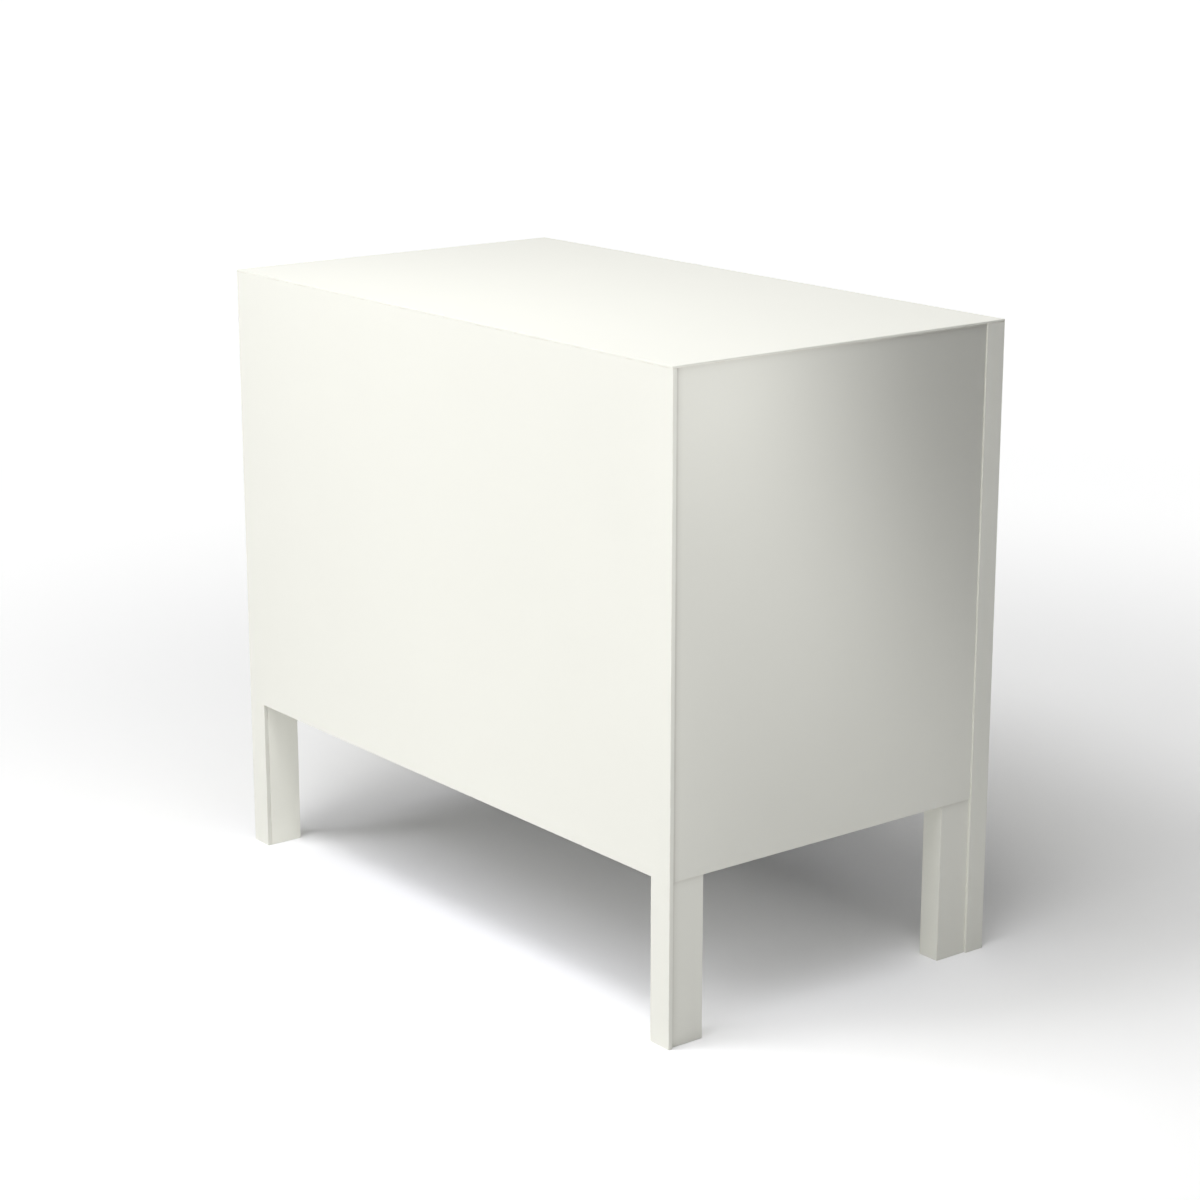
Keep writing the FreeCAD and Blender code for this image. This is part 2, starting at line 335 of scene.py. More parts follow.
@dataclass(frozen=True)
class SatinPaint(Finish):
    """Sprayed satin paint: faint orange peel, uneven sheen, arrises with a thin coat, and painted shade in
    corners.

    A corner is the axis and place of a neighbour that stands proud, and how much painted shade lies beside
    it.
    A shade band is its strength, where it starts, and where it is full.
    """

    tone: Colour = (0.853, 0.852, 0.789)
    thin_tone: Colour = (0.76, 0.735, 0.655)
    # Colour of the painted shade in the corners.
    corner_shade_tone: Colour = (0.60, 0.585, 0.53)
    roughness: float = 0.44
    gloss: float = 0.25
    cloud_cells: float = 5.0
    sheen_cells: float = 22.0
    rub_cells: float = 70.0
    peel_cells: Pair = (620.0, 150.0)
    peel_depth: float = 0.012 * MM
    corners: tuple[tuple[str, float, float], ...] = ()
    shade_bands: tuple[Triple, ...] = ((0.3, 11 * MM, 0.0), (0.38, 4.5 * MM, 1.5 * MM))
    shade_blotch_cells: float = 40.0
    shaded_reach: Pair = (385 * MM, 392 * MM)

    def _corner_shade(self, graph: Graph) -> Number:
        """How much painted shade darkens the corners, on the board's outer face alone.

        Args:
            graph: The material graph.

        Returns:
            The share, zero where the board has no such corner.
        """
        dust_and_shade: Number = 0.0
        for axis, place, shade_weight in self.corners:
            gap = abs(graph.axis(axis) - place)
            for strength, start, full in self.shade_bands:
                dust_and_shade = dust_and_shade + (strength * shade_weight) * gap.between(start, full)
        if not self.corners:
            return dust_and_shade
        outer = abs(graph.axis("X")).between(*self.shaded_reach)
        return dust_and_shade * outer * (0.75 + 0.5 * graph.noise(self.shade_blotch_cells, 3.0))

    def draw(self, graph: Graph) -> None:
        """Fills the graph.

        Args:
            graph: An empty material graph.
        """
        clouds = graph.noise(self.cloud_cells, 3.0)
        rubbed = graph.attribute("arris") * graph.noise(self.rub_cells, 3.0).between(0.42, 0.62)
        body = graph.mixed(clouds.between(0.3, 0.7) * 0.5, self.tone, toned(self.tone, 0.985))
        # Painted shade: inner corners beside proud neighbours are darkened towards the shade tone, blotched
        # by noise.
        body = graph.mixed(self._corner_shade(graph), body, self.corner_shade_tone)
        fine, coarse = (graph.noise(cells, 2.0) for cells in self.peel_cells)
        graph.surface({
            "Base Color": graph.mixed(rubbed * 0.6, body, self.thin_tone),
            "Roughness": self.roughness + 0.05 * graph.noise(self.sheen_cells, 4.0) + 0.12 * rubbed,
            "Specular IOR Level": self.gloss,
            "Normal": graph.relief(fine + 0.6 * coarse, self.peel_depth, 0.55),
        })


@dataclass(frozen=True)
class BirchPlywood(Finish):
    """Clear-lacquered birch plywood: a pale figured face, and plies with glue lines on every cut edge.

    A pattern's cells per metre are given along and across the grain.
    """

    grain: Grain = Grain.ALONG_DEPTH
    inner_face: float = 0.0
    thickness: float = 12 * MM
    plies: int = 9
    pale: Colour = (0.79, 0.655, 0.47)
    deep: Colour = (0.655, 0.49, 0.315)
    glue: Colour = (0.30, 0.19, 0.105)
    figure_cells: Pair = (2.6, 26.0)
    fibre_cells: Pair = (22.0, 900.0)
    fleck_cells: Pair = (34.0, 260.0)
    pore_cells: float = 1500.0
    relief_depth: float = 0.03 * MM

    def _laid(self, cells: Pair) -> Triple:
        """Cells per metre along each axis, for a pattern that runs with the grain."""
        along, across = cells
        return (across, along, across) if self.grain is Grain.ALONG_DEPTH else (along, across, across)

    def draw(self, graph: Graph) -> None:
        """Fills the graph.

        Args:
            graph: An empty material graph.
        """
        figure = graph.noise(self._laid(self.figure_cells), 4.0, 0.9)
        fibre = graph.noise(self._laid(self.fibre_cells), 3.0)
        fleck = graph.scattered(self._laid(self.fleck_cells)).between(0.16, 0.07)
        face = graph.ramp(figure, [(0.32, self.deep), (0.5, self.pale), (0.74, toned(self.pale, 1.06))])
        face = graph.mixed(fibre.between(0.35, 0.75) * 0.22, face, self.deep)
        face = graph.mixed(fleck * 0.35, face, self.glue)
        depth = (abs(graph.axis(self.grain.value[1])) - self.inner_face) * (self.plies / self.thickness)
        inside = (depth > 0.5) * (depth < self.plies - 0.5)
        turned = ((depth * 0.5).fraction() > 0.5) * inside
        pores = graph.noise(self.pore_cells, 1.0).between(0.4, 0.7)
        edge = graph.mixed(turned * (0.55 + 0.25 * pores), face, self.deep)
        line = abs(depth.fraction() - 0.5).between(0.44, 0.5) * inside
        graph.surface({
            "Base Color": graph.mixed(line * 0.7, edge, self.glue),
            "Roughness": 0.4 + 0.1 * fibre + 0.18 * turned,
            "Coat Weight": 0.3 - 0.2 * turned,
            "Normal": graph.relief(fibre - 0.5 * fleck - 0.6 * line, self.relief_depth, 0.7),
        })


@dataclass(frozen=True)
class FacedHardboard(Finish):
    """Hardboard with a white face above and its bare brown fibres below."""

    face: Colour = (0.83, 0.82, 0.78)
    scuff: Colour = (0.7, 0.685, 0.635)
    fibre: Colour = (0.36, 0.235, 0.14)
    felt_cells: float = 420.0
    strand_cells: float = 900.0
    scuff_cells: Triple = (9.0, 60.0, 9.0)
    cloud_cells: float = 7.0
    relief_depth: float = 0.03 * MM

    def draw(self, graph: Graph) -> None:
        """Fills the graph.

        Args:
            graph: An empty material graph.
        """
        upper = graph.axis("Z", "Normal").between(0.3, 0.7)
        felt = graph.noise(self.felt_cells, 4.0, 0.6)
        strands = graph.scattered(self.strand_cells).between(0.2, 0.6)
        brown = graph.mixed(felt * 0.7 + strands * 0.2, self.fibre, toned(self.fibre, 0.62))
        scuffs = graph.noise(self.scuff_cells, 5.0, 0.5).between(0.62, 0.78)
        white = graph.mixed(scuffs * 0.25 + graph.noise(self.cloud_cells, 2.0) * 0.08, self.face, self.scuff)
        graph.surface({
            "Base Color": graph.mixed(upper, brown, white),
            "Roughness": 0.78 - 0.36 * upper + 0.1 * felt,
            "Normal": graph.relief(felt, self.relief_depth, 0.6),
        })


@dataclass(frozen=True)
class BakedEnamel(Finish):
    """Baked white coat on rolled steel, polished grey where the rollers run, between two places on X."""

    tone: Colour = (0.80, 0.80, 0.765)
    bare: Colour = (0.47, 0.475, 0.48)
    track: Pair = (361.4 * MM, 367.1 * MM)
    track_edge: Pair = (0.5 * MM, 0.4 * MM)
    streak_cells: Triple = (900.0, 14.0, 900.0)
    chip_cells: float = 160.0
    sheen_cells: float = 45.0
    peel_cells: Pair = (700.0, 190.0)
    peel_depth: float = 0.02 * MM

    def draw(self, graph: Graph) -> None:
        """Fills the graph.

        Args:
            graph: An empty material graph.
        """
        place = abs(graph.axis("X"))
        (low, high), (before, after) = self.track, self.track_edge
        lane = place.between(low - before, low + after) * place.between(high + before, high - after)
        level = abs(graph.axis("Z", "Normal")).between(0.8, 0.95)
        streaks = graph.noise(self.streak_cells, 4.0).between(0.35, 0.65)
        worn = lane * level * (0.35 + 0.65 * streaks)
        chipped = graph.attribute("arris") * graph.noise(self.chip_cells, 3.0).between(0.56, 0.64)
        bared = (worn * 0.75 + chipped).between(0.0, 1.0)
        fine, coarse = (graph.noise(cells, 2.0) for cells in self.peel_cells)
        peel = fine + 0.5 * coarse
        graph.surface({
            "Base Color": graph.mixed(bared, self.tone, self.bare),
            "Metallic": bared * 0.8,
            "Roughness": 0.33 + 0.08 * graph.noise(self.sheen_cells, 3.0) - 0.06 * bared,
            "Normal": graph.relief(peel * (1.0 - bared) + streaks * bared * 0.3, self.peel_depth, 0.6),
        })


@dataclass(frozen=True)
class MouldedNylon(Finish):
    """Moulded natural nylon with a fine spark-eroded skin and a dusty tyre."""

    tone: Colour = (0.755, 0.75, 0.69)
    dust_and_shade: Colour = (0.40, 0.395, 0.37)
    grime_cells: float = 240.0
    cloud_cells: float = 90.0
    skin_cells: float = 2600.0
    skin_depth: float = 0.01 * MM

    def draw(self, graph: Graph) -> None:
        """Fills the graph.

        Args:
            graph: An empty material graph.
        """
        tyre = graph.attribute("tyre")
        grime = tyre * graph.noise(self.grime_cells, 4.0).between(0.35, 0.7)
        cloud = graph.noise(self.cloud_cells, 2.0)
        graph.surface({
            "Base Color": graph.mixed(grime * 0.55 + cloud * 0.1, self.tone, self.dust_and_shade),
            "Roughness": 0.44 + 0.12 * cloud - 0.1 * tyre,
            "Normal": graph.relief(graph.noise(self.skin_cells, 1.0), self.skin_depth, 0.6),
        })


@dataclass(frozen=True)
class SatinNickel(Finish):
    """Nickel plate on a turned knob, with the fine rings of the lathe and a little handling bloom."""

    tone: Colour = (0.645, 0.61, 0.55)
    bloom: Colour = (0.52, 0.495, 0.455)
    ring_cells: float = 6500.0
    ring_depth: float = 0.006 * MM
    hand_cells: float = 110.0

    def draw(self, graph: Graph) -> None:
        """Fills the graph.

        Args:
            graph: An empty material graph.
        """
        inputs = {"W": graph.attribute("turned") * self.ring_cells, "Detail": 3.0}
        rings = graph.signal("TexNoise", {"noise_dimensions": "1D"}, inputs, "Fac")
        hand = graph.noise(self.hand_cells, 3.0).between(0.4, 0.75)
        graph.surface({
            "Base Color": graph.mixed(hand * 0.35 + (1.0 - rings) * 0.15, self.tone, self.bloom),
            "Metallic": 1.0,
            "Roughness": 0.24 + 0.1 * rings + 0.08 * hand,
            "Normal": graph.relief(rings, self.ring_depth, 0.7),
        })


@dataclass(frozen=True)
class ZincPlate(Finish):
    """Bright zinc on small screws, darker in the recess and clouded by handling."""

    tone: Colour = (0.58, 0.595, 0.61)
    recess_tone: Colour = (0.30, 0.305, 0.31)
    spangle_cells: float = 1400.0
    cloud_cells: float = 520.0
    cloud_depth: float = 0.01 * MM

    def draw(self, graph: Graph) -> None:
        """Fills the graph.

        Args:
            graph: An empty material graph.
        """
        spangle = graph.scattered(self.spangle_cells, "Color")
        cloud = graph.noise(self.cloud_cells, 3.0).between(0.4, 0.7)
        graph.surface({
            # The colour goes darker inside the cross recess.
            "Base Color": graph.mixed(cloud * 0.4 + graph.attribute("recess") * 0.6, self.tone, self.recess_tone),
            "Metallic": 1.0,
            "Roughness": 0.28 + 0.1 * spangle + 0.12 * cloud,
            "Normal": graph.relief(cloud, self.cloud_depth, 0.5),
        })


# Modelling


class Bench:
    """Modelling steps that every sub-assembly shares, all done with Blender's own operators."""

    weld = 0.002 * MM
    flat = math.radians(0.5)
    square = math.radians(60)
    crisp = math.radians(40)

    @staticmethod
    def only(*pieces: Piece) -> None:
        """Selects these pieces alone, the first one active.

        Args:
            pieces: The pieces.
        """
        for other in bpy.context.view_layer.objects:
            other.select_set(False)
        for piece in pieces:
            piece.select_set(True)
        bpy.context.view_layer.objects.active = pieces[0]

    @classmethod
    @contextmanager
    def editing(cls, piece: Piece, test: Optional[FaceTest] = None) -> Iterator[None]:
        """Holds a piece in edit mode for the length of a block, with its faces selected.

        Args:
            piece: The piece.
            test: Says whether a face is wanted. Without it everything is.
        """
        cls.only(piece)
        if test:
            mesh = piece.data
            for parts in (mesh.vertices, mesh.edges):
                parts.foreach_set("select", [False] * len(parts))
            mesh.polygons.foreach_set("select", [bool(test(face)) for face in mesh.polygons])
        bpy.ops.object.mode_set(mode="EDIT")
        if not test:
            bpy.ops.mesh.select_all(action="SELECT")
        yield
        bpy.ops.object.mode_set(mode="OBJECT")

    @classmethod
    def modify(cls, piece: Piece, kind: str, **settings: object) -> None:
        """Adds a modifier and applies it.

        Args:
            piece: The piece.
            kind: The modifier's type.
            settings: Its properties.
        """
        cls.only(piece)
        modifier = piece.modifiers.new(kind.title(), kind)
        for name, value in settings.items():
            setattr(modifier, name, value)
        bpy.ops.object.modifier_apply(modifier=modifier.name)

    @classmethod
    def settle(cls, piece: Piece, angle: float = crisp) -> None:
        """Puts a piece's place into its mesh, turns its faces outwards and smooths its rounded parts.

        Args:
            piece: The piece.
            angle: Edges sharper than this stay crisp.
        """
        cls.only(piece)
        bpy.ops.object.transform_apply()
        with cls.editing(piece):
            bpy.ops.mesh.remove_doubles(threshold=cls.weld)
            bpy.ops.mesh.normals_make_consistent(inside=False)
        bpy.ops.object.shade_smooth_by_angle(angle=angle)

    @classmethod
    def eased(
        cls, node: str, finish: Finish, slot: str, ease: float, segments: int = 2, word: str = "eased",
    ) -> Piece:
        """A dressed copy of a construction node, with its faces whole again and its square arrises rounded.

        Args:
            node: The construction node that the piece stands for.
            finish: Its finish.
            slot: The record's slot that the finish belongs to. It is not used.
            ease: Radius of the rounding.
            segments: Steps across the rounding.
            word: What the piece's name adds to the node's.

        Returns:
            The new piece, on the node's body.
        """
        source = frame["nodes"][node]
        piece = bpy.data.objects.new(f"{node}_{word}", source.data.copy())
        bpy.context.scene.collection.objects.link(piece)
        with cls.editing(piece):
            bpy.ops.mesh.remove_doubles(threshold=cls.weld)
            bpy.ops.mesh.dissolve_limited(angle_limit=cls.flat, use_dissolve_boundaries=False)
        mesh = piece.data
        mesh.materials.clear()
        for part in ("coat", "arris"):
            mesh.materials.append(bpy.data.materials.get(part) or bpy.data.materials.new(part))
        mesh.polygons.foreach_set("material_index", [0] * len(mesh.polygons))
        cls.modify(
            piece, "BEVEL", width=ease, segments=segments, limit_method="ANGLE",
            angle_limit=cls.square, material=1, use_clamp_overlap=True,
        )
        cls.mark(piece, "arris", lambda face: face.material_index == 1)
        mesh.polygons.foreach_set("use_smooth", [True] * len(mesh.polygons))
        cls.modify(piece, "WEIGHTED_NORMAL", keep_sharp=False, weight=100)
        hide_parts(node)
        finish.dress(piece)
        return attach(piece, source["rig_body"])

    @staticmethod
    def mark(piece: Piece, name: str, value: FaceTest) -> None:
        """Keeps a number for each face, for a finish to read, and sends every face to the first material.

        Args:
            piece: The piece.
            name: The attribute's name.
            value: Gives the number for a face.
        """
        marks = [float(value(face)) for face in piece.data.polygons]
        layer = piece.data.attributes.new(name, "FLOAT", "FACE")
        layer.data.foreach_set("value", marks)
        piece.data.polygons.foreach_set("material_index", [0] * len(marks))

    @classmethod
    def turned(cls, name: str, seat: Vector, axis: Vector, profile: Profile, steps: int) -> Piece:
        """A turned piece, drawn out ring by ring from a disc or, for a profile that closes, from a hoop.

        Args:
            name: The piece's name.
            seat: The point that the profile's distances start from.
            axis: The direction that they grow in, one unit long.
            profile: Radius and distance of each ring.
            steps: Corners of each ring.

        Returns:
            The piece.
        """
        radius, along = profile[0]
        closes = profile[0] == profile[-1]
        bpy.ops.mesh.primitive_circle_add(
            vertices=steps, radius=radius, fill_type="NOTHING" if closes else "NGON",
            location=seat + axis * along, rotation=axis.to_track_quat("Z", "Y").to_euler(),
        )
        piece = bpy.context.object
        piece.name = name
        bpy.ops.object.transform_apply()
        with cls.editing(piece):
            for next_radius, next_along in profile[1:]:
                move = axis * (next_along - along)
                bpy.ops.mesh.extrude_region_move(TRANSFORM_OT_translate={"value": move})
                size = (next_radius / radius,) * 3
                bpy.ops.transform.resize(value=size, center_override=seat + axis * next_along)
                radius, along = next_radius, next_along
        return piece

    @classmethod
    def copies(cls, name: str, model: Piece, places: Iterable[Matrix]) -> Piece:
        """Copies of one model joined into one piece, each with its own mesh.

        Args:
            name: The new piece's name.
            model: What is copied. It stays as it is.
            places: Where each copy goes.

        Returns:
            The joined piece.
        """
        made = []
        for place in places:
            copy = bpy.data.objects.new(name, model.data.copy())
            copy.data.transform(place)
            bpy.context.scene.collection.objects.link(copy)
            made.append(copy)
        cls.only(*made)
        bpy.ops.object.join()
        made[0].name = name
        return made[0]


@dataclass(frozen=True)
class ScrewHead:
    """A low screw head with a cross recess, standing on the origin along Z.

    Its rings and the blades that cut the recess are in shares of its radius and height.
    """

    name: str
    diameter: float
    height: float
    rings: Profile = ((0.97, 0.0), (1, 0.12), (1, 0.34), (0.93, 0.62), (0.78, 0.84), (0.5, 0.97), (0.16, 1))
    steps: int = 24
    crisp: float = math.radians(50)
    blade: Triple = (1.05, 0.24, 1.1)
    blade_foot: float = 0.55
    recess: Pair = (0.6, 0.9)
    zinc: ZincPlate = ZincPlate("zinc_plate")

    def build(self) -> Piece:
        """Models the head.

        Returns:
            The model, to be copied and then removed.
        """
        radius, height = self.diameter / 2, self.height
        profile = [(radius * out, height * up) for out, up in self.rings]
        head = Bench.turned(self.name, Vector(), Vector((0, 0, 1)), profile, self.steps)
        Bench.settle(head, self.crisp)
        for turn in (0.0, math.pi / 2):
            bpy.ops.mesh.primitive_cube_add(size=1, location=(0, 0, height), rotation=(0, 0, turn))
            blade = bpy.context.object
            blade.scale = (radius * self.blade[0], radius * self.blade[1], height * self.blade[2])
            bpy.ops.object.transform_apply()
            with Bench.editing(blade, lambda face: face.normal.z < -0.9):
                size = (self.blade_foot, self.blade_foot, 1.0)
                bpy.ops.transform.resize(value=size, center_override=(0, 0, 0))
            Bench.modify(head, "BOOLEAN", object=blade, operation="DIFFERENCE", solver="EXACT")
            bpy.data.objects.remove(blade)
        reach, floor = radius * self.recess[0], height * self.recess[1]
        Bench.mark(head, "recess", lambda face: face.center.z < floor and face.center.xy.length < reach)
        return self.zinc.dress(head)


def seated(seat: Triple, axis: Triple, spin: float) -> Matrix:
    """Where a screw head goes that stands on a seat along an axis, with its cross turned by a spin."""
    lie = Vector(axis).to_track_quat("Z", "Y").to_matrix().to_4x4()
    return Matrix.Translation(seat) @ lie @ Matrix.Rotation(spin, 4, "Z")


# Sub-assemblies


@dataclass
class Case:
    """The painted case: boards, front frame and legs. Its painted corner shade is heavier by the back than
    below the top.
    """

    boards: tuple[str, ...] = (
        "top_panel", "back_panel", "bottom_panel", "side_panel_left", "side_panel_right", "stile_left",
        "stile_right", "front_post_left", "front_post_right", "rear_post_left", "rear_post_right",
        "bottom_rail", "lower_rail", "upper_rail", "top_rail",
    )
    ease: float = 0.5 * MM
    shade_by_back: float = 1.0
    shade_by_edge: float = 0.4

    def _paint(self, board: str) -> SatinPaint:
        """The paint of one board, with painted shade in the corners where its neighbours stand proud of it.

        Args:
            board: The construction node of the board.

        Returns:
            The finish.
        """
        # Painted shade: corners beside the proud back sheet and beside the end panels' top and bottom edges
        # are darkened.
        sheet = ("Y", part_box("back_panel")[0].y, self.shade_by_back)
        low, high = (("Z", corner.z, self.shade_by_edge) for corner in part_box("side_panel_left"))
        if board.startswith("side_panel"):
            return SatinPaint("satin_paint_end", corners=(sheet, high))
        if board.startswith("rear_post"):
            return SatinPaint("satin_paint_rear_leg", corners=(sheet, low))
        if board.startswith("front_post"):
            return SatinPaint("satin_paint_front_leg", corners=(low,))
        return SatinPaint("satin_paint")

    def build(self) -> dict[str, Piece]:
        """Eases and paints every board.

        Returns:
            The pieces by the name of the board that each stands for.
        """
        pieces = {}
        for board in self.boards:
            pieces[board] = Bench.eased(board, self._paint(board), "case_paint", self.ease)
            LOG.info("case board %s", board)
        return pieces


@dataclass
class Runner:
    """The fixed and the sliding half of one roller runner, with the screws that hold them.

    Its spins turn the screws' crosses: a first turn, one for each screw, and one for each letter of the name.
    """

    level: Level
    side: Side
    ease: float = 0.18 * MM
    enamel: BakedEnamel = BakedEnamel("baked_enamel")
    cabinet_screw_y: tuple[float, ...] = (-153.5 * MM, 203.0 * MM)
    cabinet_screw_height: float = 17.4 * MM
    drawer_screw_y: tuple[float, ...] = (-182.0 * MM, 12.0 * MM, 150.0 * MM)
    drawer_screw_height: float = 17.9 * MM
    steel: float = 1.2 * MM
    spins: Triple = (0.7, 1.9, 0.6)

    def _half(self, node: str, body: str, screw: Piece, seats: Sequence[Triple], way: int) -> None:
        """Coats one half and sets its screws.

        Args:
            node: The construction node of the half.
            body: The body that it moves with.
            screw: The screw head to copy.
            seats: Where each head stands on the steel.
            way: Sign of the X that the heads point to.
        """
        Bench.eased(node, self.enamel, "runner_enamel", self.ease, 1, "coated")
        first, step, letter = self.spins
        first += letter * len(node)
        places = [seated(seat, (way, 0, 0), first + step * count) for count, seat in enumerate(seats)]
        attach(Bench.copies(f"{node}_screws", screw, places), body)
        LOG.info("runner %s", node)

    def build(self, screw: Piece) -> None:
        """Builds the half on the posts and the half on the drawer.

        Args:
            screw: The screw head to copy.
        """
        out, name = self.side.value, self.level.value
        outer = 0 if out < 0 else 1
        tag = f"{name}_{self.side.name.lower()}"
        cabinet, drawer = f"cabinet_runner_{tag}", f"drawer_runner_{tag}"
        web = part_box(cabinet)[outer].x - out * self.steel
        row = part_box(cabinet)[0].z + self.steel + self.cabinet_screw_height
        self._half(cabinet, "case", screw, [(web, y, row) for y in self.cabinet_screw_y], -out)
        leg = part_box(f"drawer_side_{tag}")[outer].x + out * self.steel
        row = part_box(drawer)[0].z + self.drawer_screw_height
        self._half(drawer, f"drawer_{name}", screw, [(leg, y, row) for y in self.drawer_screw_y], out)


@dataclass
class RollerPair:
    """Two moulded rollers on one axis: a bored hub, a thin web with ribs, and a crowned tyre."""

    node: str
    body: str
    width: float = 5.5 * MM
    bore: float = 6.1 * MM
    hub: float = 9.4 * MM
    rim: float = 1.9 * MM
    recess: float = 1.1 * MM
    crown: float = 0.12 * MM
    lead: float = 0.35 * MM
    steps: int = 48
    ribs: int = 6
    rib_share: float = 0.72
    nylon: MouldedNylon = MouldedNylon("moulded_nylon")

    def _roller(self, low: Vector, high: Vector) -> Piece:
        """Models one roller between the ends of its box.

        Args:
            low: Lowest corner of the roller.
            high: Highest corner of the roller.

        Returns:
            The roller.
        """
        outer, wide = (high.z - low.z) / 2, high.x - low.x
        seat = Vector((low.x, (low.y + high.y) / 2, (low.z + high.z) / 2))
        bore, hub, dish = self.bore / 2, self.hub / 2, outer - self.rim
        near = [
            (bore, 0.0), (hub, 0.0), (hub, self.recess), (dish, self.recess), (dish, 0.0),
            (outer - self.lead - self.crown, 0.0), (outer - self.crown, self.lead),
        ]
        far = [(radius, wide - along) for radius, along in reversed(near)]
        profile = [*near, (outer, wide * 0.5), *far, near[0]]
        roller = Bench.turned("roller", seat, Vector((1, 0, 0)), profile, self.steps)
        Bench.settle(roller)
        every = self.steps // self.ribs

        def arm(face: Face) -> Vector:
            """The way from the axis out to a face's middle."""
            return Vector((0, face.center.y - seat.y, face.center.z - seat.z))

        def on_rib(face: Face) -> bool:
            """Whether a face is one of the web's that a rib stands on."""
            on_web = abs(face.normal.x) > 0.9 and hub < arm(face).length < dish
            turn = math.atan2(arm(face).z, arm(face).y) % math.tau
            return on_web and int(turn / math.tau * self.steps) % every == 0

        for way in (-1, 1):
            with Bench.editing(roller, lambda face: on_rib(face) and face.normal.x * way > 0.9):
                rise = (way * self.recess * self.rib_share, 0, 0)
                bpy.ops.mesh.extrude_region_move(TRANSFORM_OT_translate={"value": rise})
        bpy.ops.object.shade_smooth_by_angle(angle=Bench.crisp)
        Bench.mark(roller, "tyre", lambda face: arm(face).length > outer - 2 * self.lead)
        return roller

    def build(self) -> None:
        """Models the left roller, copies it to the other end of the pair, and joins them."""
        low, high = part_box(self.node)
        roller = self._roller(low, Vector((low.x + self.width, high.y, high.z)))
        shift = Matrix.Translation((high.x - low.x - self.width, 0, 0))
        pair = Bench.copies(f"{self.node}_moulded", roller, (Matrix.Identity(4), shift))
        bpy.data.objects.remove(roller)
        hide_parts(self.node)
        self.nylon.dress(pair)
        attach(pair, self.body)
        LOG.info("rollers %s", pair.name)


@dataclass
class KnobPair:
    """Two turned knobs: a waisted stem that flares into a round head with a softly dished face.

    The foot, the waist and the flare are shares of the head's radius.
    """

    level: Level
    steps: int = 72
    foot: float = 0.4333
    waist: float = 0.375
    flare: float = 0.86
    foot_round: float = 0.25 * MM
    foot_edge: float = 0.4 * MM
    neck: Pair = (0.9, 6.6)
    flare_start: float = 9.2 * MM
    flare_end: float = 10.2 * MM
    rim: Pair = (2.9 * MM, 5.0 * MM)
    dish: float = 0.9 * MM
    dish_rings: tuple[float, ...] = (0.9, 0.72, 0.5, 0.28, 0.08)
    nickel: SatinNickel = SatinNickel("satin_nickel")

    def profile(self, radius: float, reach: float) -> Profile:
        """Section of the knob from the drawer front outwards.

        Args:
            radius: Radius of the head.
            reach: How far the knob stands out.

        Returns:
            Radius and distance of each ring.
        """
        quarter = math.pi / 2
        foot, waist, flare = radius * self.foot, radius * self.waist, radius * self.flare
        neck = foot - self.foot_round
        start, length = self.neck
        rows = [(foot, 0.0), (foot, self.foot_edge), (neck, start * MM)]
        for share in (step / 6 for step in range(1, 6)):
            rows.append((neck - (neck - waist) * math.sin(share * quarter), (start + length * share) * MM))
        throat = reach - self.flare_end - self.flare_start
        for turn in (step / 7 * quarter for step in range(8)):
            out = waist + (flare - waist) * (1 - math.cos(turn))
            rows.append((out, self.flare_start + throat * math.sin(turn)))
        round_out, round_up = self.rim
        rim = radius - round_out
        for turn in ((step / 12 - 0.5) * math.pi for step in range(13)):
            rows.append((rim + round_out * math.cos(turn), reach - round_up + round_up * math.sin(turn)))
        rows += [(rim * share, reach - self.dish * (1 - share * share)) for share in self.dish_rings]
        return rows

    def build(self) -> None:
        """Turns one knob, copies it, and hangs the pair on its drawer."""
        node = f"knobs_{self.level.value}"
        low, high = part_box(node)
        radius, reach = (high.z - low.z) / 2, high.y - low.y
        seat = Vector((low.x + radius, high.y, (low.z + high.z) / 2))
        knob = Bench.turned("knob", seat, Vector((0, -1, 0)), self.profile(radius, reach), self.steps)
        Bench.settle(knob)
        layer = knob.data.attributes.new("turned", "FLOAT", "POINT")
        arms = [vertex.co - seat for vertex in knob.data.vertices]
        layer.data.foreach_set("value", [math.hypot(arm.x, arm.z) - arm.y for arm in arms])
        shift = Matrix.Translation((high.x - low.x - 2 * radius, 0, 0))
        pair = Bench.copies(f"{node}_turned", knob, (Matrix.Identity(4), shift))
        bpy.data.objects.remove(knob)
        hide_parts(node)
        self.nickel.dress(pair)
        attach(pair, f"drawer_{self.level.value}")
        LOG.info("knobs %s", pair.name)


